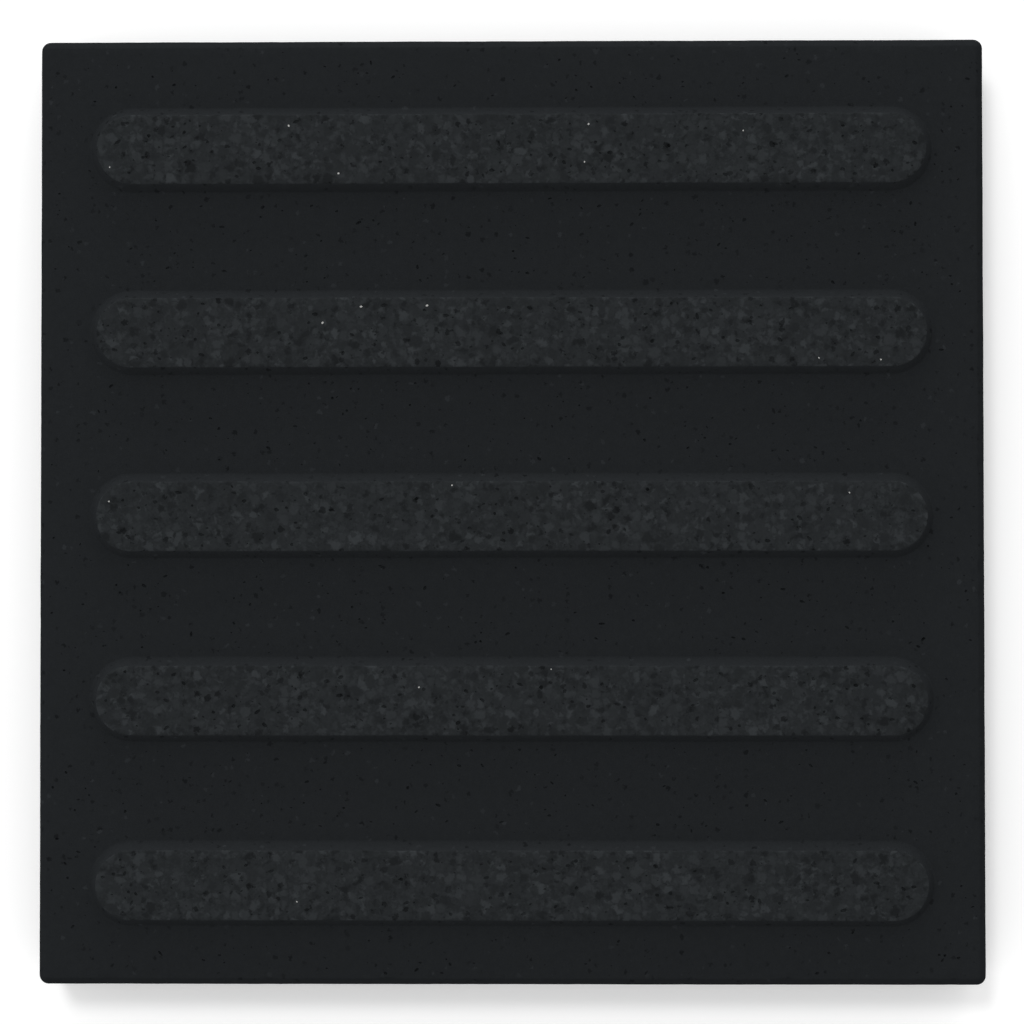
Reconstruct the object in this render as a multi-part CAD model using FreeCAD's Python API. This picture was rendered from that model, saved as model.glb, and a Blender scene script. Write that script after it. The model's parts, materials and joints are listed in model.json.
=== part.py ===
"""Tactile guide-path paving slab: one pressed concrete slab with raised flat-topped bars.

The slab lies on its bed face, in millimetres. The origin is the centre of the bed face,
+Z points up to the walking face, and +X runs along the bars, the way people walk.
"""

import FreeCAD
import Part
import os

# The slab's body, without the bars. The field is the level face between the bars.
slab_length = 400.0
slab_width = 400.0
field_height = 35.0
corner_radius = 4.0
arris_radius = 3.5
bed_chamfer = 1.0

# The guide bars: drafted flanks, full-round ends, eased top edges and a small cove at the foot.
# Their row sits a little nearer the side at -Y than the side at +Y.
bar_count = 5
bar_pitch = 77.5
bar_row_offset = -2.2
bar_height = 5.0
bar_foot_width = 35.5
bar_end_margin = 22.0
flank_run = 3.2
top_edge_radius = 1.0
foot_cove_radius = 1.5

# The bars run the length of the slab, less the level margin at each end.
bar_foot_length = slab_length - 2 * bar_end_margin

# Two lengths closer than this are equal, when edges are picked by where they lie.
tolerance = 0.001


def lies_level(edge, height):
    """Whether an edge lies flat at that height."""
    box = edge.BoundBox
    return abs(box.ZMin - height) < tolerance and abs(box.ZMax - height) < tolerance


def stands_upright(edge):
    """Whether an edge is vertical."""
    box = edge.BoundBox
    return box.XLength < tolerance and box.YLength < tolerance


def inside_the_field(edge):
    """Whether an edge lies within the outline of the field, where only the bars are."""
    box = edge.BoundBox
    reach_x = max(abs(box.XMin), abs(box.XMax))
    reach_y = max(abs(box.YMin), abs(box.YMax))
    inset = arris_radius + tolerance
    return reach_x < slab_length / 2 - inset and reach_y < slab_width / 2 - inset


def slab_body():
    """The plain slab: upright rounded corners, a rounded upper arris and a chamfered lower one."""
    corner = FreeCAD.Vector(-slab_length / 2, -slab_width / 2, 0)
    body = Part.makeBox(slab_length, slab_width, field_height, corner)
    body = body.makeFillet(corner_radius, [e for e in body.Edges if stands_upright(e)])
    body = body.makeFillet(arris_radius, [e for e in body.Edges if lies_level(e, field_height)])
    return body.makeChamfer(bed_chamfer, [e for e in body.Edges if lies_level(e, 0)])


def guide_bar():
    """One bar standing on the field, along the X axis, with its top edge eased."""
    foot_radius = bar_foot_width / 2
    top_radius = foot_radius - flank_run
    bar_top = field_height + bar_height
    round_centre = bar_foot_length / 2 - foot_radius
    corners = [
        (-foot_radius, field_height),
        (-top_radius, bar_top),
        (top_radius, bar_top),
        (foot_radius, field_height),
        (-foot_radius, field_height),
    ]
    section = Part.makePolygon([FreeCAD.Vector(-round_centre, y, z) for y, z in corners])
    straight = Part.Face(section).extrude(FreeCAD.Vector(2 * round_centre, 0, 0))
    ends = [
        Part.makeCone(foot_radius, top_radius, bar_height, FreeCAD.Vector(x, 0, field_height))
        for x in (-round_centre, round_centre)
    ]
    bar = straight.fuse(ends).removeSplitter()
    return bar.makeFillet(top_edge_radius, [e for e in bar.Edges if lies_level(e, bar_top)])


def row_of_bars():
    """The bars at their pitch across the slab."""
    first = bar_row_offset - (bar_count - 1) * bar_pitch / 2
    return [guide_bar().translated(FreeCAD.Vector(0, first + i * bar_pitch, 0)) for i in range(bar_count)]


def paving_slab():
    """The whole slab as one solid, with its bars fused on and a cove round the foot of each."""
    slab = slab_body().fuse(row_of_bars()).removeSplitter()
    feet = [e for e in slab.Edges if lies_level(e, field_height) and inside_the_field(e)]
    return slab.makeFillet(foot_cove_radius, feet)


def main():
    """Writes the slab and prints what it came out as."""
    os.makedirs("parts", exist_ok=True)
    slab = paving_slab()
    slab.exportStep("parts/paving_slab.step")
    box = slab.BoundBox
    print(f"paving_slab: {len(slab.Solids)} solid, valid: {slab.isValid()}")
    print(f"{box.XLength:.2f} x {box.YLength:.2f} x {box.ZLength:.2f} mm, {slab.Volume / 1e6:.4f} litres")


main()
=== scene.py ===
import json
import math
import random

import bpy
import numpy as np
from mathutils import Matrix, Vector, noise
from mathutils.geometry import delaunay_2d_cdt

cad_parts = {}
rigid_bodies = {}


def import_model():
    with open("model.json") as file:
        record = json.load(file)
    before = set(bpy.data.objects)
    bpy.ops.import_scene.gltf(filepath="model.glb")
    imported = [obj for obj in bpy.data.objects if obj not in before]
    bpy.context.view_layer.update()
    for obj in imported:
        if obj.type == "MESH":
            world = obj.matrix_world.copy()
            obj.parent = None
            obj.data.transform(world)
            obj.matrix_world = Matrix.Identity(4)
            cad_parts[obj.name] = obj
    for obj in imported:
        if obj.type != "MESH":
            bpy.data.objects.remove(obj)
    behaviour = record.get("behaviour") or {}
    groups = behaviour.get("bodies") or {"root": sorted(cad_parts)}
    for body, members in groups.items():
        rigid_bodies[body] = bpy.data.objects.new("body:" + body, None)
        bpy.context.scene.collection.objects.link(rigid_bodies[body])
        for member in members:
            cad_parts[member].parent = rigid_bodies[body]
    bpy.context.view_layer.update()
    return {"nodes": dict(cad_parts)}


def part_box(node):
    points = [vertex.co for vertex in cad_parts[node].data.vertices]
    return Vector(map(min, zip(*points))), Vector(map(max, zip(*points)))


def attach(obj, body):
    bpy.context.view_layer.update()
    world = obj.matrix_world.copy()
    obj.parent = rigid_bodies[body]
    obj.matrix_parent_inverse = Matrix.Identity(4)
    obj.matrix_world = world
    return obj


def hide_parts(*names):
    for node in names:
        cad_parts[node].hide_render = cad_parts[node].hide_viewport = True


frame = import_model()
print("frame loaded:", ", ".join(frame["nodes"]))

# Everything is worked out in millimetres, and the slab's points are scaled to metres at the end
mm = 0.001
rng = random.Random(41)

# The finish that a face wears, by its material slot
skin, ground, quartz, bed = range(4)

slabPoints = []
slabHoleShade = []  # 0 at the surface, 1 at the bottom of a hole: how strong the painted shade in the hole is
slabEdgePaling = []  # 0 where the skin keeps its tone, 1 where it is palest, at the bars' top edges
slabFaces = []
slabFinish = []


def addPoints(points, holeShade=None, edgePaling=0.0):
    first = len(slabPoints)
    slabPoints.extend(tuple(float(value) for value in point) for point in points)
    added = len(slabPoints) - first
    slabHoleShade.extend(holeShade or [0.0] * added)
    slabEdgePaling.extend([edgePaling] * added)
    return list(range(first, first + added))


def addBand(lower, upper, finish, closed=True):
    # Four-sided faces between two rows of points
    count = len(lower)
    for i in range(count if closed else count - 1):
        j = (i + 1) % count
        slabFaces.append((lower[i], lower[j], upper[j], upper[i]))
        slabFinish.append(finish)


def unevenness(x, y, size, layer):
    # Noise from about -1 to 1 over the plan, in waves of this size. Each layer has its own pattern.
    return noise.noise(Vector((x / size, y / size, layer)))


def easeIn(distance, width):
    # Goes smoothly from 0 at an edge to 1 this far from it
    share = min(max(distance / width, 0.0), 1.0)
    return share * share * (3 - 2 * share)


def roundedStations(halfX, halfY, cornerSteps, step, middleY=0.0):
    # Stations round an outline: an anchor in plan and the way outwards from it.
    # The anchors are the centres of the corner arcs and the lines between them.
    corners = [(halfX, halfY), (-halfX, halfY), (-halfX, -halfY), (halfX, -halfY)]
    stations = []
    cornerStarts = []
    for i, (x, y) in enumerate(corners):
        cornerStarts.append(len(stations))
        for k in range(cornerSteps):
            angle = (i + k / cornerSteps) * math.pi / 2
            stations.append((x, middleY + y, math.cos(angle), math.sin(angle)))
        nextX, nextY = corners[(i + 1) % 4]
        sideCount = round(math.hypot(nextX - x, nextY - y) / step)
        angle = (i + 1) * math.pi / 2
        for k in range(sideCount):
            anchorX = x + (nextX - x) * k / sideCount
            anchorY = middleY + y + (nextY - y) * k / sideCount
            stations.append((anchorX, anchorY, math.cos(angle), math.sin(angle)))
    return np.array(stations), cornerStarts


def planAt(stations, reach):
    # The outline that lies this far out from the anchors
    return stations[:, :2] + stations[:, 2:] * np.reshape(reach, (-1, 1))


def ringAt(stations, reach, height):
    plan = planAt(stations, reach)
    return np.column_stack([plan, np.broadcast_to(height, len(plan))])


def nicksAlong(outline, sizes):
    # How deep the edge is chipped at each point of an outline
    depth = np.zeros(len(outline))
    for _ in range(sizes["nicks"]):
        x, y = outline[rng.randrange(len(outline))]
        reach = rng.uniform(*sizes["nickReach"])
        deepest = rng.uniform(*sizes["nickDepth"]) ** 2 / sizes["nickDepth"][1]
        away = np.hypot(outline[:, 0] - x, outline[:, 1] - y) / reach
        depth = np.maximum(depth, deepest * np.clip(1 - away**2, 0, 1) ** 2)
    return depth


# What all the holes share: open pores, air holes, and the quartz grains, which are level
holeShape = {
    "wobble": (0.8, 1.2),  # the rim's least and most reach, in shares of the radius
    "points": (6, 8),  # round a small and a large hole
    "largeFrom": 0.5,  # the radius from which a hole is large
    "turn": 0.6,  # how far drawn-out holes stray from lying along the sheet, in radians
    "depthSpread": (0.8, 1.3),
    "rings": [(1.0, 0.0, 0.0), (0.62, 0.75, 0.9)],  # share of the radius, share of the depth, how strong the painted shade is
    "edgeGap": 0.4,
    "holeGap": 0.3,
    "tries": 40,  # for each hole wanted
}


def makeHole(u, v, radius, stretch, turn, depth, isQuartz=False):
    return {
        "u": u,
        "v": v,
        "radius": radius,
        "stretch": stretch,
        "turn": turn,
        "depth": depth,
        "size": radius * stretch * holeShape["wobble"][1],
        "isQuartz": isQuartz,
    }


def isClear(holes, u, v, margin):
    return all(math.hypot(hole["u"] - u, hole["v"] - v) > hole["size"] + margin for hole in holes)


def scatterHoles(sizes, area, box, fits, holes=()):
    # Random holes inside a region, none touching another. The sizes give their number on 100 square
    # millimetres, their radius, how far they lean to the small end, how far they are drawn out along
    # the sheet, and their depth for their radius.
    holes = list(holes)
    wanted = len(holes) + round(area / 100 * sizes["density"])
    small, large = sizes["radius"]
    tries = 0
    while len(holes) < wanted and tries < holeShape["tries"] * wanted:
        tries += 1
        u = rng.uniform(box[0], box[1])
        v = rng.uniform(box[2], box[3])
        radius = small + (large - small) * rng.random() ** sizes["skew"]
        stretch = rng.uniform(*sizes["stretch"])
        depth = radius * sizes["depth"] * rng.uniform(*holeShape["depthSpread"])
        hole = makeHole(u, v, radius, stretch, rng.gauss(0, holeShape["turn"]), depth)
        inRegion = fits(u, v, hole["size"] + holeShape["edgeGap"])
        if inRegion and isClear(holes, u, v, hole["size"] + holeShape["holeGap"]):
            holes.append(hole)
    return holes


def holeRings(hole):
    # A hole's rim, its middle and its bottom: place in plan, depth, and how hollow it is there
    small, large = holeShape["points"]
    count = large if hole["radius"] > holeShape["largeFrom"] else small
    wobble = [rng.uniform(*holeShape["wobble"]) for _ in range(count)]
    turned = complex(math.cos(hole["turn"]), math.sin(hole["turn"]))
    rings = []
    for share, sunk, holeShade in holeShape["rings"]:
        ring = []
        for k in range(count):
            angle = 2 * math.pi * k / count
            reach = hole["radius"] * share * wobble[k]
            point = complex(reach * math.cos(angle) * hole["stretch"], reach * math.sin(angle)) * turned
            ring.append((hole["u"] + point.real, hole["v"] + point.imag, sunk * hole["depth"], holeShade))
        rings.append(ring)
    rings.append([(hole["u"], hole["v"], hole["depth"], 1.0)])
    return rings


# The loose points of a sheet, in shares of the step between them
loosePoints = {
    "rowStep": 0.866,  # the height of a triangle with equal sides
    "jitter": 0.28,
    "borderGap": 0.55,
    "holeGap": 0.3,
}


def scatterBetween(box, step, fits, holes):
    # Loose points in staggered rows, kept off the borders and the holes
    columns = np.arange(box[0], box[1], step)
    rows = np.arange(box[2], box[3], step * loosePoints["rowStep"])
    u, v = np.meshgrid(columns, rows)
    u = u + (np.arange(len(rows)) % 2)[:, None] * step / 2
    stray = loosePoints["jitter"]
    jitter = np.array([rng.uniform(-stray, stray) * step for _ in range(2 * u.size)]).reshape(2, -1)
    u = u.ravel() + jitter[0]
    v = v.ravel() + jitter[1]
    kept = fits(u, v, step * loosePoints["borderGap"])
    for hole in holes:
        kept &= np.hypot(u - hole["u"], v - hole["v"]) > hole["size"] + step * loosePoints["holeGap"]
    return np.column_stack([u[kept], v[kept]])


def keepSheet(triangles, fences):
    # The triangles that lie on the sheet. Each fence is a side that a triangle just off the sheet has,
    # and what else lies off it is reached from there, from neighbour to neighbour.
    bySide = {}
    for number, (a, b, c) in enumerate(triangles):
        for side in ((a, b), (b, c), (c, a)):
            bySide[side] = number
    waiting = [bySide[side] for side in fences if side in bySide]
    off = set(waiting)
    while waiting:
        a, b, c = triangles[waiting.pop()]
        for start, end in ((a, b), (b, c), (c, a)):
            neighbour = bySide.get((end, start))
            if (start, end) not in fences and neighbour is not None and neighbour not in off:
                off.add(neighbour)
                waiting.append(neighbour)
    return [triangle for number, triangle in enumerate(triangles) if number not in off]


def fillSheet(border, openings, holes, loose, place, finish, facingDown=False):
    # Triangles over one face of the slab, between its border, the openings left in it and its holes.
    # The place function turns a point of the sheet and a depth into a point of the slab.
    plan = []
    ids = []
    grains = []  # the quartz grain that a point belongs to
    edges = []

    def addRing(ringIds, ringPlan, grain=None):
        first = len(plan)
        plan.extend(Vector(point) for point in ringPlan)
        ids.extend(ringIds)
        grains.extend([grain] * len(ringIds))
        sides = [(i, i + 1) for i in range(first, len(plan) - 1)] + [(len(plan) - 1, first)]
        if len(ringIds) > 2:
            edges.extend(sides)
        return sides

    fences = {(end, start) for start, end in addRing(*border)}
    for opening in openings:
        fences.update(addRing(*opening))
    for number, hole in enumerate(holes):
        for ring in holeRings(hole):
            # Quartz grains are level and get no painted shade
            holeShade = [0.0 if hole["isQuartz"] else point[3] for point in ring]
            ringIds = addPoints([place(*point[:3]) for point in ring], holeShade)
            addRing(ringIds, [point[:2] for point in ring], number if hole["isQuartz"] else None)
    plan.extend(Vector(point) for point in loose)
    ids.extend(addPoints([place(u, v, 0.0) for u, v in loose]))
    grains.extend([None] * len(loose))

    _, _, triangles, origins, _, _ = delaunay_2d_cdt(plan, edges, [], 0, 1e-6, True)
    if not all(origins):
        raise ValueError("two rings of a sheet cross")
    triangles = [[origins[i][0] for i in triangle] for triangle in triangles]
    for triangle in keepSheet(triangles, fences):
        met = {grains[i] for i in triangle}
        isQuartz = len(met) == 1 and None not in met
        if facingDown:
            triangle.reverse()
        slabFaces.append(tuple(ids[i] for i in triangle))
        slabFinish.append(quartz if isQuartz else finish)


# The slab without its bars. Its length, width and height are the solid's own.
slabBody = {
    "node": "paving_slab",
    "body": "root",
    "slot": "charcoal_concrete",
    "cornerRadius": 4.0,
    "arrisWidth": 3.0,  # of the bevel along the upper edge, in plan
    "arrisEase": 1.2,  # radius where the bevel runs into the side and the field
    "nicks": 90,  # small chips off the upper arris
    "nickDepth": (0.15, 0.7),
    "nickReach": (1.0, 4.0),  # half a nick's length
    "waviness": 0.18,  # how far the outline strays inwards
    "slowWave": (24.0, 3.1),  # size and layer of the noise
    "quickWave": (5.0, 8.2),
    "bedChamfer": 1.0,
    "bedRaggedness": 0.8,  # how far the edge of the bed face strays inwards
    "raggedWave": (7.0, 5.5),
    "bedRise": 0.35,  # how far the bed face rises off the ground between its low places
    "bedWave": (11.0, 2.4),
    "bedSlope": (40.0, 6.4),
    "bedRim": 5.0,  # over how much of its rim it goes from level to uneven
    "sideHoles": {"density": 0.5, "radius": (0.3, 1.5), "skew": 3.2, "stretch": (1.0, 1.7), "depth": 0.8},
    "bedHoles": {"density": 0.24, "radius": (0.5, 2.4), "skew": 2.4, "stretch": (1.0, 1.7), "depth": 0.55},
    "step": 2.0,  # between points along the outline
    "sideStep": 3.5,  # between the loose points on a side
    "bedStep": 6.0,  # between the loose points on the bed face
    "cornerSteps": 6,
    "arrisSteps": 3,  # over each of the bevel's two eased edges
    "sideRows": 12,  # rows of points up a rounded corner
    "sharpAngle": 35,  # degrees; smooth shading stops at a crease sharper than this
}

# The guide bars. The sizes above the nicks are the solid's own.
guideBars = {
    "count": 5,
    "pitch": 77.5,
    "rowOffset": -2.2,
    "height": 5.0,
    "footWidth": 35.5,
    "endMargin": 22.0,
    "flankRun": 3.2,
    "topEdgeRadius": 1.0,
    "footCoveRadius": 1.5,
    "nicks": 26,  # small chips off each bar's top edge
    "nickDepth": (0.1, 0.5),
    "nickReach": (0.6, 2.2),
    "nickDrop": 0.7,  # how far a nick cuts down, for its depth into the edge
    "waviness": 0.14,  # how far the outline strays
    "slowWave": (18.0, 11.7),
    "quickWave": (4.0, 14.9),
    "flankPaling": 0.7,  # how pale the top of the flank is, where the edge above it is 1
    "groundOver": 2,  # how many bands below the flat top the grinding has reached
    "pores": {"density": 1.5, "radius": (0.26, 0.85), "skew": 1.8, "stretch": (1.0, 2.1), "depth": 0.8},
    "step": 1.5,  # between points along a bar
    "topStep": 2.2,  # between the loose points on a bar's top
    "endSteps": 20,  # round a quarter of a bar's end
    "edgeSteps": 3,  # over each rounded edge
}

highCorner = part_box(slabBody["node"])[1]
halfLength = highCorner.x / mm
halfWidth = highCorner.y / mm
barTop = highCorner.z / mm
fieldHeight = barTop - guideBars["height"]
footRadius = guideBars["footWidth"] / 2
barRun = halfLength - guideBars["endMargin"] - footRadius  # from a bar's middle to its round end's centre
barMiddles = [
    guideBars["rowOffset"] + (i - (guideBars["count"] - 1) / 2) * guideBars["pitch"]
    for i in range(guideBars["count"])
]
barStray = guideBars["waviness"] * 1.5  # the most that a bar's outline strays


def arrisProfile():
    # Up the slab's arris: inset from the side, drop below the field, and how far it has turned to face up
    ease = slabBody["arrisEase"]
    steps = slabBody["arrisSteps"]
    end = slabBody["arrisWidth"] + ease * math.tan(math.pi / 8)
    turns = [math.pi / 4 * k / steps for k in range(steps + 1)]
    lower = [(ease * (1 - math.cos(turn)), end - ease * math.sin(turn), turn) for turn in turns]
    upper = [(drop, inset, math.pi / 2 - turn) for inset, drop, turn in reversed(lower)]
    return lower + upper


arrisReach = arrisProfile()[-1][0]


def outlineSway(x, y):
    # How far the slab's outline strays inwards at a point on it
    slow = unevenness(x, y, *slabBody["slowWave"])
    quick = unevenness(x, y, *slabBody["quickWave"])
    return slabBody["waviness"] * min(max(0.5 + 0.5 * slow + 0.25 * quick, 0.0), 1.0)


def slabInset(x, y):
    # How far a point lies inside the slab's outline
    return np.minimum(halfLength - np.abs(x), halfWidth - np.abs(y))


def addSides(stations, cornerStarts, sway, sideFoot, sideTop):
    # The rounded upright corners, and the four flat sides between them with their air holes
    radius = slabBody["cornerRadius"]
    steps = slabBody["cornerSteps"]
    low = slabBody["bedChamfer"]
    high = fieldHeight - arrisReach
    heights = np.linspace(low, high, slabBody["sideRows"] + 1)[1:-1]
    outline = planAt(stations, radius - sway)
    columns = {}
    for start in cornerStarts:
        for i in range(start, start + steps + 1):
            middle = addPoints([(*outline[i], height) for height in heights])
            columns[i] = [sideFoot[i], *middle, sideTop[i]]
        for i in range(start, start + steps):
            addBand(columns[i + 1], columns[i], skin, closed=False)

    for number, start in enumerate(cornerStarts):
        first = start + steps
        last = cornerStarts[(number + 1) % 4]
        run = list(range(first, last or len(stations))) + [last]
        corner = Vector(stations[first, :2])
        outwards = Vector(stations[first, 2:])
        along = Vector(stations[last, :2]) - corner
        length = along.length
        along.normalize()

        def place(u, v, depth):
            edge = corner + along * u + outwards * radius
            point = edge - outwards * (outlineSway(edge.x, edge.y) + depth)
            return point.x, point.y, v

        def fits(u, v, margin):
            return (u > margin) & (u < length - margin) & (v > low + margin) & (v < high - margin)

        across = np.linspace(0, length, len(run))
        borderIds = [sideFoot[i] for i in run]
        borderIds += columns[last][1:-1]
        borderIds += [sideTop[i] for i in reversed(run)]
        borderIds += columns[first][-2:0:-1]
        border = [(u, low) for u in across]
        border += [(length, height) for height in heights]
        border += [(u, high) for u in across[::-1]]
        border += [(0.0, height) for height in heights[::-1]]
        box = (0, length, low, high)
        holes = scatterHoles(slabBody["sideHoles"], length * (high - low), box, fits)
        loose = scatterBetween(box, slabBody["sideStep"], fits, holes)
        fillSheet((borderIds, border), [], holes, loose, place, skin)


def addBody():
    # The upper arris, the sides, the chamfer and the bed face; returns the ring round the field
    radius = slabBody["cornerRadius"]
    chamfer = slabBody["bedChamfer"]
    stations, cornerStarts = roundedStations(
        halfLength - radius, halfWidth - radius, slabBody["cornerSteps"], slabBody["step"]
    )
    outline = planAt(stations, radius)
    sway = np.array([outlineSway(x, y) for x, y in outline])
    nicks = nicksAlong(outline, slabBody)

    rings = []
    for inset, drop, turn in arrisProfile():
        bite = nicks * math.sin(2 * turn)  # deepest on the bevel
        reach = radius - sway - inset - bite * math.cos(turn)
        level = fieldHeight - drop - bite * math.sin(turn)
        rings.append(addPoints(ringAt(stations, reach, level)))
    for lower, upper in zip(rings, rings[1:]):
        addBand(lower, upper, skin)
    fieldRing = (rings[-1], planAt(stations, radius - arrisReach - sway))

    ragged = np.array([0.5 + 0.5 * unevenness(x, y, *slabBody["raggedWave"]) for x, y in outline])
    bedReach = radius - sway - chamfer - slabBody["bedRaggedness"] * ragged
    sideFoot = addPoints(ringAt(stations, radius - sway, chamfer))
    bedIds = addPoints(ringAt(stations, bedReach, 0.0))
    addBand(bedIds, sideFoot, skin)
    addSides(stations, cornerStarts, sway, sideFoot, rings[0])

    innerEdge = chamfer + slabBody["bedRaggedness"] + slabBody["waviness"]

    def fits(u, v, margin):
        return slabInset(u, v) > innerEdge + margin

    def place(u, v, depth):
        wave = unevenness(u, v, *slabBody["bedWave"])
        slope = unevenness(u, v, *slabBody["bedSlope"])
        rise = slabBody["bedRise"] * max(0.5 + 0.5 * wave + 0.2 * slope, 0.0)
        return u, v, rise * easeIn(float(slabInset(u, v)) - innerEdge, slabBody["bedRim"]) + depth

    box = (-halfLength, halfLength, -halfWidth, halfWidth)
    holes = scatterHoles(slabBody["bedHoles"], 4 * halfLength * halfWidth, box, fits)
    loose = scatterBetween(box, slabBody["bedStep"], fits, holes)
    fillSheet((bedIds, planAt(stations, bedReach)), [], holes, loose, place, bed, facingDown=True)
    return fieldRing


# Pale quartz grains, cut through where the bar tops are ground
quartzGrains = {
    "radius": (0.3, 0.5),
    "stretch": 1.2,
    "places": [
        (-93.7, 162.6), (-169.4, 145.3), (-72.7, 142.4), (32.8, 163.0), (31.1, 147.0), (97.9, 160.1),
        (-63.1, 86.1), (-35.3, 86.5), (-79.4, 79.3), (129.5, 64.2), (155.5, 63.4),
        (-169.4, 4.1), (-24.8, 10.8), (142.1, 7.5), (16.8, -66.5), (-38.7, -74.1), (-90.0, -164.0),
    ],
}


def barProfile():
    # Up a bar's flank: inset from the foot line, height over the field, how far over its top edge, how pale
    run = guideBars["flankRun"]
    rise = guideBars["height"]
    cove = guideBars["footCoveRadius"]
    edge = guideBars["topEdgeRadius"]
    steps = guideBars["edgeSteps"]
    paling = guideBars["flankPaling"]
    slope = math.atan2(rise, run)
    coveStart = -cove * math.tan(slope / 2)
    edgeEnd = run + edge * math.tan(slope / 2)
    turns = [slope * k / steps for k in range(steps + 1)]
    profile = [(coveStart + cove * math.sin(turn), cove * (1 - math.cos(turn)), 0.0, 0.0) for turn in turns]
    for turn in reversed(turns):
        inset = edgeEnd - edge * math.sin(turn)
        overEdge = 1 - turn / slope
        profile.append((inset, rise - edge * (1 - math.cos(turn)), overEdge, paling + (1 - paling) * overEdge))
    return profile


coveReach = footRadius - barProfile()[0][0]  # from a bar's middle line to where the field is level
topRadius = footRadius - barProfile()[-1][0]


def barReach(x, y, middleY):
    # How far a point lies from a bar's middle line
    return np.hypot(np.maximum(np.abs(x) - barRun, 0), y - middleY)


def addBar(middleY):
    # One guide bar with its ground top; returns the ring where its cove meets the field
    stations, _ = roundedStations(barRun, 0.0, guideBars["endSteps"], guideBars["step"], middleY)
    outline = planAt(stations, footRadius)
    slow = np.array([unevenness(x, y, *guideBars["slowWave"]) for x, y in outline])
    quick = np.array([unevenness(x, y, *guideBars["quickWave"]) for x, y in outline])
    sway = guideBars["waviness"] * (slow + 0.5 * quick)
    nicks = nicksAlong(outline, guideBars)
    rings = []
    for inset, height, overEdge, edgePaling in barProfile():
        reach = footRadius - inset - sway - nicks * overEdge
        bite = guideBars["nickDrop"] * nicks * math.sin(math.pi * overEdge)
        points = addPoints(ringAt(stations, reach, fieldHeight + height - bite), edgePaling=edgePaling)
        rings.append((points, planAt(stations, reach)))
    groundFrom = len(rings) - 1 - guideBars["groundOver"]
    for number, (lower, upper) in enumerate(zip(rings, rings[1:])):
        addBand(lower[0], upper[0], skin if number < groundFrom else ground)

    innerEdge = topRadius - barStray

    def fits(u, v, margin):
        return barReach(u, v, middleY) < innerEdge - margin

    def place(u, v, depth):
        return u, v, barTop - depth

    holes = []
    for x, y in quartzGrains["places"]:
        if abs(y - middleY) < topRadius:
            radius = rng.uniform(*quartzGrains["radius"])
            turn = rng.uniform(0, math.pi)
            holes.append(makeHole(x, y, radius, quartzGrains["stretch"], turn, 0.0, isQuartz=True))
    box = (-barRun - topRadius, barRun + topRadius, middleY - topRadius, middleY + topRadius)
    area = 4 * barRun * topRadius + math.pi * topRadius**2
    holes = scatterHoles(guideBars["pores"], area, box, fits, holes)
    loose = scatterBetween(box, guideBars["topStep"], fits, holes)
    fillSheet(rings[-1], [], holes, loose, place, ground)
    return rings[0]


# The face between the bars, a little uneven away from its edges
levelField = {
    "holes": {"density": 0.75, "radius": (0.2, 0.6), "skew": 2.6, "stretch": (1.0, 2.4), "depth": 1.3},
    "step": 3.2,  # between its loose points
    "dip": 0.12,  # how far it sinks in its low places
    "slowWave": (19.0, 21.3),
    "quickWave": (7.0, 25.1),
    "rim": 5.0,  # over how much of its rim it goes from level to uneven
}


def addField(fieldRing, barRings):
    border = arrisReach + slabBody["waviness"]
    barBorder = coveReach + barStray

    def nearestBarReach(x, y):
        return np.min([barReach(x, y, middleY) for middleY in barMiddles], axis=0)

    def fits(u, v, margin):
        return (slabInset(u, v) > border + margin) & (nearestBarReach(u, v) > barBorder + margin)

    def place(u, v, depth):
        fromEdge = min(slabInset(u, v) - border, nearestBarReach(u, v) - barBorder)
        slow = unevenness(u, v, *levelField["slowWave"])
        quick = unevenness(u, v, *levelField["quickWave"])
        dip = levelField["dip"] * max(0.5 + 0.4 * slow + 0.2 * quick, 0.0)
        return u, v, fieldHeight - depth - dip * easeIn(float(fromEdge), levelField["rim"])

    box = (-halfLength, halfLength, -halfWidth, halfWidth)
    barArea = 4 * barRun * footRadius + math.pi * footRadius**2
    area = 4 * halfLength * halfWidth - len(barMiddles) * barArea
    holes = scatterHoles(levelField["holes"], area, box, fits)
    loose = scatterBetween(box, levelField["step"], fits, holes)
    fillSheet(fieldRing, barRings, holes, loose, place, skin)


fieldRing = addBody()
print("body: arris, sides and bed face,", len(slabFaces), "faces so far")
barRings = [addBar(middleY) for middleY in barMiddles]
print("guide bars:", len(barRings), "bars,", len(slabFaces), "faces so far")
addField(fieldRing, barRings)
print("field:", len(slabFaces), "faces,", sum(len(face) - 2 for face in slabFaces), "triangles in all")

slabMesh = bpy.data.meshes.new("pavingSlab")
slabMesh.from_pydata([tuple(value * mm for value in point) for point in slabPoints], [], slabFaces)
# How strong the painted shade in each hole is, for the finishes to read
slabMesh.attributes.new("holeShade", "FLOAT", "POINT").data.foreach_set("value", slabHoleShade)
# How much paler the skin is towards the bars' top edges
slabMesh.attributes.new("edgePaling", "FLOAT", "POINT").data.foreach_set("value", slabEdgePaling)
slabMesh.polygons.foreach_set("material_index", slabFinish)
slabMesh.polygons.foreach_set("use_smooth", [True] * len(slabFaces))
slabMesh.set_sharp_from_angle(angle=math.radians(slabBody["sharpAngle"]))
slab = bpy.data.objects.new("pavingSlab", slabMesh)
bpy.context.scene.collection.objects.link(slab)


def addNode(tree, kind, inputs=None, **settings):
    node = tree.nodes.new("ShaderNode" + kind)
    for name, value in settings.items():
        setattr(node, name, value)
    for name, value in (inputs or {}).items():
        if isinstance(value, bpy.types.NodeSocket):
            tree.links.new(value, node.inputs[name])
        else:
            node.inputs[name].default_value = value
    return node


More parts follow.
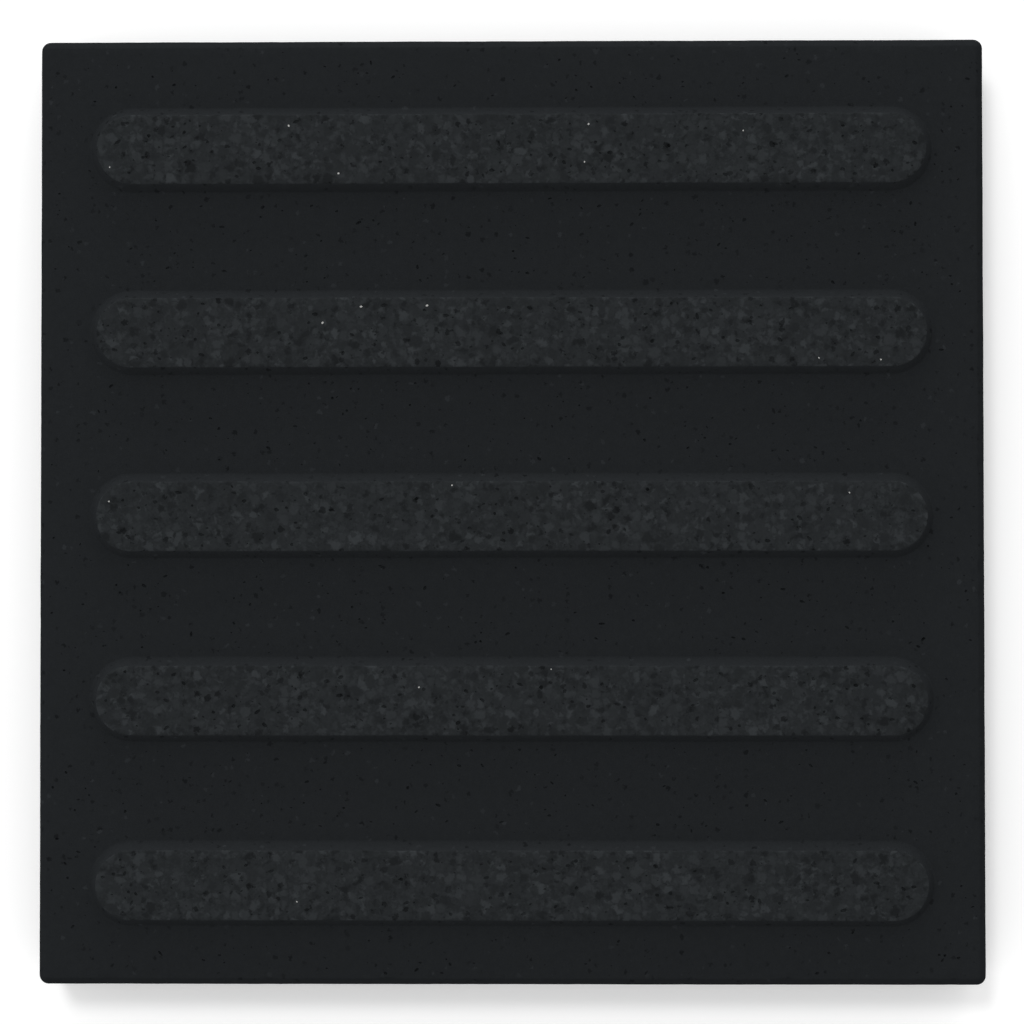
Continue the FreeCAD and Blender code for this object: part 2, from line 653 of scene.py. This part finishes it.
def newFinish(name, sizes):
    material = bpy.data.materials.new(name)
    material.use_nodes = True
    tree = material.node_tree
    tree.nodes.clear()
    inputs = {"Roughness": sizes["roughness"], "Specular IOR Level": sizes["specular"]}
    shader = addNode(tree, "BsdfPrincipled", inputs)
    addNode(tree, "OutputMaterial", {"Surface": shader.outputs["BSDF"]})
    return material, tree, shader


def addOwnPlace(tree):
    # The surface's own place in millimetres
    own = addNode(tree, "TexCoord").outputs["Object"]
    return addNode(tree, "Mapping", {"Vector": own, "Scale": (1 / mm, 1 / mm, 1 / mm)}).outputs["Vector"]


def addNoise(tree, place, size, detail=3.0, roughness=0.6):
    inputs = {"Vector": place, "Scale": 1 / size, "Detail": detail, "Roughness": roughness}
    return addNode(tree, "TexNoise", inputs).outputs


def addRange(tree, value, fromRange, toRange=(0.0, 1.0)):
    inputs = {
        "Value": value,
        "From Min": fromRange[0],
        "From Max": fromRange[1],
        "To Min": toRange[0],
        "To Max": toRange[1],
    }
    return addNode(tree, "MapRange", inputs).outputs["Result"]


def addMaths(tree, operation, first, second):
    return addNode(tree, "Math", {0: first, 1: second}, operation=operation).outputs["Value"]


def addRamp(tree, value, stops):
    # Tones by stops, in linear light
    node = addNode(tree, "ValToRGB", {"Fac": value})
    for i, (position, tone) in enumerate(stops):
        element = node.color_ramp.elements[i] if i < 2 else node.color_ramp.elements.new(position)
        element.position = position
        element.color = (tone, tone, tone, 1)
    return node.outputs["Color"]


def mixTones(tree, share, first, second):
    return addNode(tree, "Mix", {0: share, 2: first, 3: second}, data_type="FLOAT").outputs[0]


def shadeColour(tree, colour, shade):
    return addNode(tree, "VectorMath", {0: colour, "Scale": shade}, operation="SCALE").outputs["Vector"]


def bendPlace(tree, place, size, amount):
    # Sways a place by noise, so that what lies on it loses its straight edges
    sway = addNoise(tree, place, size, roughness=0.65)["Color"]
    sway = addNode(tree, "VectorMath", {0: sway, 1: (0.5, 0.5, 0.5)}, operation="SUBTRACT").outputs["Vector"]
    sway = shadeColour(tree, sway, amount)
    return addNode(tree, "VectorMath", {0: place, 1: sway}, operation="ADD").outputs["Vector"]


def addPitShadeAndGrains(tree, place, tone, pitShadeAndGrains):
    # Painted shade: small soft dark spots drawn in the colour where pinholes would be shaded, with no dent
    # in the surface, and some pale grains among them
    bent = bendPlace(tree, place, *pitShadeAndGrains["bend"])
    inputs = {"Vector": bent, "Scale": 1 / pitShadeAndGrains["spacing"], "Randomness": 1.0}
    cell = addNode(tree, "TexVoronoi", inputs, feature="F1").outputs
    parts = addNode(tree, "SeparateColor", {"Color": cell["Color"]}).outputs
    reach = addRange(tree, parts["Red"], (1 - pitShadeAndGrains["share"], 1.0), (0.0, pitShadeAndGrains["reach"]))
    inside = addRange(tree, addMaths(tree, "SUBTRACT", reach, cell["Distance"]), (0.0, pitShadeAndGrains["edge"]))
    pitTone = addMaths(tree, "MULTIPLY", tone, addRamp(tree, parts["Green"], pitShadeAndGrains["tones"]))
    return mixTones(tree, inside, tone, pitTone)


def addPaleEdges(tree, place, tone, paling):
    # Makes the skin paler where the edge paling is high, that is up the bars' flanks towards their top
    # edges, in uneven patches
    edgePaling = addNode(tree, "Attribute", attribute_name="edgePaling").outputs["Fac"]
    patches = addNoise(tree, place, paling["patch"], detail=2.0, roughness=0.55)["Fac"]
    patches = addRange(tree, patches, paling["span"], (paling["least"], 1.0))
    share = addMaths(tree, "MULTIPLY", edgePaling, patches)
    return addMaths(tree, "MULTIPLY", tone, addRange(tree, share, (0.0, 1.0), (1.0, paling["tone"])))


def addPaintedHoleShade(tree, tone, deepest):
    # Painted shade: darkens the insides of the holes, on top of the real shade that their geometry gives
    holeShade = addNode(tree, "Attribute", attribute_name="holeShade").outputs["Fac"]
    return addMaths(tree, "MULTIPLY", tone, addRange(tree, holeShade, (0.0, 1.0), (1.0, deepest)))


def addBump(tree, shader, height, strength, distance):
    inputs = {"Strength": strength, "Distance": distance * mm, "Height": height}
    tree.links.new(addNode(tree, "Bump", inputs).outputs["Normal"], shader.inputs["Normal"])


noiseSpan = (0.3, 0.7)  # where nearly all values of a noise lie

# The cast skin. The bend of the painted pit shade is the size and reach of the sway that frays its edges.
cementSkin = {
    "colour": (0.0141, 0.0156, 0.0170),
    "roughness": 0.95,
    "specular": 0.004,
    "cloud": 9.0,  # size of the clouds
    "fleck": 2.6,
    "fleckShare": 0.8,  # in the blend of flecks and clouds
    "blendSpan": (0.25, 0.75),
    "tones": (0.94, 1.08),  # from its darkest to its palest clouds
    "grain": 0.6,  # size of the sand
    "grainTones": (0.92, 1.08),
    "grainHeight": 0.08,
    "grainStrength": 0.5,
    "pitShadeAndGrains": {
        "spacing": 3.0,
        "share": 0.62,  # the share of the places that have a pit
        "reach": 0.42,  # radius of the widest pit, as a share of their spacing
        "edge": 0.1,  # how soft a pit's edge is, as a share of their spacing
        "bend": (1.5, 3.6),
        # below 1 the painted shade of a pit, above 1 a pale grain
        "tones": [(0.0, 0.55), (0.45, 0.74), (0.72, 0.85), (0.76, 1.17), (1.0, 1.48)],
    },
    "paling": {
        "tone": 1.25,  # how pale the palest edge is beside the skin
        "patch": 2.2,  # size of its patches
        "span": (0.35, 0.65),
        "least": 0.5,  # how much of the paling stays between them
    },
    "holeShade": 0.85,  # how dark the painted shade at the bottom of a hole is beside the skin
}


def makeSkin(name, sizes):
    material, tree, shader = newFinish(name, sizes)
    place = addOwnPlace(tree)
    cloud = addNoise(tree, place, sizes["cloud"], detail=2.0, roughness=0.55)["Fac"]
    fleck = addNoise(tree, place, sizes["fleck"])["Fac"]
    sand = addNoise(tree, place, sizes["grain"])["Fac"]
    blend = mixTones(tree, sizes["fleckShare"], cloud, fleck)
    tone = addRange(tree, blend, sizes["blendSpan"], sizes["tones"])
    tone = addMaths(tree, "MULTIPLY", tone, addRange(tree, sand, noiseSpan, sizes["grainTones"]))
    tone = addPitShadeAndGrains(tree, place, tone, sizes["pitShadeAndGrains"])
    if "paling" in sizes:
        tone = addPaleEdges(tree, place, tone, sizes["paling"])
    tone = addPaintedHoleShade(tree, tone, sizes["holeShade"])
    tree.links.new(shadeColour(tree, sizes["colour"], tone), shader.inputs["Base Color"])
    addBump(tree, shader, sand, sizes["grainStrength"], sizes["grainHeight"])
    return material


# The ground bar tops: small chips in cement, large chips over them, and painted pit shade in both. A chip
# fills its cell,
# and each cell draws a number from 0 to 1: from the first number of shrink on, its chip is smaller.
groundTerrazzo = {
    "colour": (0.0188, 0.0209, 0.0224),
    "roughness": 0.8,
    "chipRoughness": 0.55,
    "specular": 0.01,
    "cement": (0.78, 1.06),  # how dark and how pale it is between the chips
    "grain": 0.9,
    "grainHeight": 0.03,
    "grainStrength": 0.3,
    "bend": (2.0, 3.4),  # size and reach of the sway that breaks the chips' edges
    "chips": [
        {"size": 2.7, "shrink": (0.48, 1.2), "cover": 0.9},
        {"size": 4.1, "shrink": (0.44, 1.1), "cover": 1.0},
    ],
    "chipTones": [
        (0.0, 0.54), (0.15, 0.72), (0.35, 0.86), (0.5, 1.0), (0.65, 1.14), (0.86, 1.33), (1.0, 1.58),
    ],
    "chipInset": (0.02, 0.32),  # from its cell's edge, for the largest and the smallest chips
    "chipEdge": 0.19,  # how soft a chip's edge is
    "speck": 1.3,  # size of the specks in the stone
    "speckTones": (0.93, 1.07),
    "pitShadeAndGrains": {
        "spacing": 4.4,
        "share": 0.6,
        "reach": 0.37,
        "edge": 0.05,
        "bend": (1.5, 3.6),
        # all below 1: the painted shade of the pits
        "tones": [(0.0, 0.46), (0.6, 0.64), (1.0, 0.8)],
    },
    # how dark the painted shade at the bottom of a hole is beside the stone
    "holeShade": 0.75,
}


def addChips(tree, place, chips, sizes):
    # Broken stone cut through: each cell's tone, and 1 where it is stone
    inputs = {"Vector": place, "Scale": 1 / chips["size"], "Randomness": 1.0}
    cell = addNode(tree, "TexVoronoi", inputs, feature="F1").outputs
    border = addNode(tree, "TexVoronoi", inputs, feature="DISTANCE_TO_EDGE").outputs["Distance"]
    parts = addNode(tree, "SeparateColor", {"Color": cell["Color"]}).outputs
    inset = addRange(tree, parts["Green"], chips["shrink"], sizes["chipInset"])
    stone = addRange(tree, addMaths(tree, "SUBTRACT", border, inset), (0.0, sizes["chipEdge"]))
    return addRamp(tree, parts["Red"], sizes["chipTones"]), stone


def makeTerrazzo(name, sizes):
    material, tree, shader = newFinish(name, sizes)
    place = addOwnPlace(tree)
    bent = bendPlace(tree, place, *sizes["bend"])
    sand = addNoise(tree, place, sizes["grain"])["Fac"]
    tone = addRange(tree, sand, noiseSpan, sizes["cement"])
    for chips in sizes["chips"]:
        chipTone, stone = addChips(tree, bent, chips, sizes)
        tone = mixTones(tree, addMaths(tree, "MULTIPLY", stone, chips["cover"]), tone, chipTone)
    speck = addNoise(tree, place, sizes["speck"], roughness=0.65)["Fac"]
    tone = addMaths(tree, "MULTIPLY", tone, addRange(tree, speck, noiseSpan, sizes["speckTones"]))
    tone = addPitShadeAndGrains(tree, place, tone, sizes["pitShadeAndGrains"])
    tone = addPaintedHoleShade(tree, tone, sizes["holeShade"])
    tree.links.new(shadeColour(tree, sizes["colour"], tone), shader.inputs["Base Color"])
    roughness = addRange(tree, stone, (0.0, 1.0), (sizes["roughness"], sizes["chipRoughness"]))
    tree.links.new(roughness, shader.inputs["Roughness"])  # the large chips are the smoothest
    addBump(tree, shader, sand, sizes["grainStrength"], sizes["grainHeight"])
    return material


quartzStone = {"colour": (0.30, 0.30, 0.29), "roughness": 0.35, "specular": 0.5}


def makeQuartz(name, sizes):
    material, tree, shader = newFinish(name, sizes)
    shader.inputs["Base Color"].default_value = (*sizes["colour"], 1)
    return material


# The bed face, rougher and patchier than the rest of the skin
bedSkin = {
    "colour": (0.0150, 0.0165, 0.0178),
    "roughness": 0.93,
    "specular": 0.04,
    "cloud": 16.0,
    "fleck": 4.5,
    "fleckShare": 0.8,
    "blendSpan": (0.25, 0.75),
    "tones": (0.5, 1.5),
    "grain": 1.1,
    "grainTones": (0.88, 1.12),
    "grainHeight": 0.25,
    "grainStrength": 0.5,
    "pitShadeAndGrains": {
        "spacing": 5.0,
        "share": 0.6,
        "reach": 0.32,
        "edge": 0.08,
        "bend": (1.5, 3.6),
        # below 1 the painted shade of a pit, above 1 a pale grain
        "tones": [(0.0, 0.5), (0.6, 0.7), (0.9, 0.9), (0.94, 1.4), (1.0, 1.7)],
    },
    # how dark the painted shade at the bottom of a hole is beside the bed face
    "holeShade": 0.35,
}

slabMesh.materials.append(makeSkin("cementSkin", cementSkin))
slabMesh.materials.append(makeTerrazzo("groundTerrazzo", groundTerrazzo))
slabMesh.materials.append(makeQuartz("quartzGrain", quartzStone))
slabMesh.materials.append(makeSkin("bedCement", bedSkin))
print("finishes:", ", ".join(material.name for material in slabMesh.materials))

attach(slab, slabBody["body"])
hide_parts(slabBody["node"])

# A pale room and floor, a lamp high at the far left, and two low, wide ones beyond the slab's sides
studio = {
    "ambient": 0.75,
    "floorSize": 12.0,
    "floorDrop": 0.0002,
    "floorColour": 1.0,  # as the camera sees it
    "floorGlow": 0.14,
    "floorBounce": 0.3,  # the floor's colour for the light that it throws back
    "lamps": {  # each lamp's bearing goes from +Y towards -X, in degrees
        "keyLight": {"watts": 56.0, "bearing": 29.0, "elevation": 63.0, "size": (0.9, 0.9)},
        "rimLight": {"watts": 145.0, "bearing": 0.0, "elevation": 9.0, "size": (5.0, 0.6)},
        "sideLight": {"watts": 44.0, "bearing": 90.0, "elevation": 9.0, "size": (4.0, 0.6)},
    },
    "lampDistance": 5.0,
}


def addSeenRays(tree):
    # 1 for what the camera sees, straight or in a reflection, and 0 for the light on the object
    rays = addNode(tree, "LightPath").outputs
    seen = addMaths(tree, "MAXIMUM", rays["Is Camera Ray"], rays["Is Glossy Ray"])
    return addMaths(tree, "MAXIMUM", seen, rays["Is Transmission Ray"])


def addWorld():
    world = bpy.data.worlds.new("studioWorld")
    world.use_nodes = True
    tree = world.node_tree
    tree.nodes.clear()
    strength = addRange(tree, addSeenRays(tree), (0.0, 1.0), (studio["ambient"], 1.0))
    light = addNode(tree, "Background", {"Color": (1, 1, 1, 1), "Strength": strength})
    addNode(tree, "OutputWorld", {"Surface": light.outputs[0]})
    bpy.context.scene.world = world


def addLamp(name, watts, bearing, elevation, size):
    data = bpy.data.lights.new(name, "AREA")
    data.shape = "RECTANGLE"
    data.size, data.size_y = size
    data.energy = watts
    bearing = math.radians(bearing)
    elevation = math.radians(elevation)
    level = Vector((-math.sin(bearing), math.cos(bearing), 0)) * math.cos(elevation)
    towards = level + Vector((0, 0, math.sin(elevation)))
    lamp = bpy.data.objects.new(name, data)
    lamp.location = towards * studio["lampDistance"]
    lamp.rotation_euler = towards.to_track_quat("Z", "Y").to_euler()
    lamp.visible_camera = False
    bpy.context.scene.collection.objects.link(lamp)


def addFloor():
    # It is white to the camera and keeps the slab's shadow, but throws back only a little light
    half = studio["floorSize"] / 2
    mesh = bpy.data.meshes.new("floor")
    corners = [(-half, -half, 0), (half, -half, 0), (half, half, 0), (-half, half, 0)]
    mesh.from_pydata(corners, [], [(0, 1, 2, 3)])
    material = bpy.data.materials.new("paleFloor")
    material.use_nodes = True
    tree = material.node_tree
    tree.nodes.clear()
    bounce = addNode(tree, "BsdfDiffuse", {"Color": (*[studio["floorBounce"]] * 3, 1)})
    shown = addNode(tree, "BsdfDiffuse", {"Color": (*[studio["floorColour"]] * 3, 1)})
    glow = addNode(tree, "Emission", {"Color": (1, 1, 1, 1), "Strength": studio["floorGlow"]})
    both = addNode(tree, "AddShader", {0: shown.outputs[0], 1: glow.outputs[0]})
    mixed = addNode(tree, "MixShader", {0: addSeenRays(tree), 1: bounce.outputs[0], 2: both.outputs[0]})
    addNode(tree, "OutputMaterial", {"Surface": mixed.outputs[0]})
    mesh.materials.append(material)
    floor = bpy.data.objects.new("floor", mesh)
    floor.location.z = -studio["floorDrop"]
    bpy.context.scene.collection.objects.link(floor)


addWorld()
for name, lamp in studio["lamps"].items():
    addLamp(name, **lamp)
addFloor()
print("studio: a pale world, a pale floor and", ", ".join(studio["lamps"]))

# The photograph looks straight down on the slab, a hair off square
viewpoint = {
    "location": (0.01272, -0.01799, 1.050),
    "rotation": (0.991, 0.698, -0.043),  # degrees
    "lens": 84.48,
}
cameraData = bpy.data.cameras.new("photoCamera")
cameraData.lens = viewpoint["lens"]
camera = bpy.data.objects.new("photoCamera", cameraData)
camera.location = viewpoint["location"]
camera.rotation_euler = [math.radians(angle) for angle in viewpoint["rotation"]]
bpy.context.scene.collection.objects.link(camera)
bpy.context.scene.camera = camera
bpy.context.scene.view_settings.view_transform = "Standard"
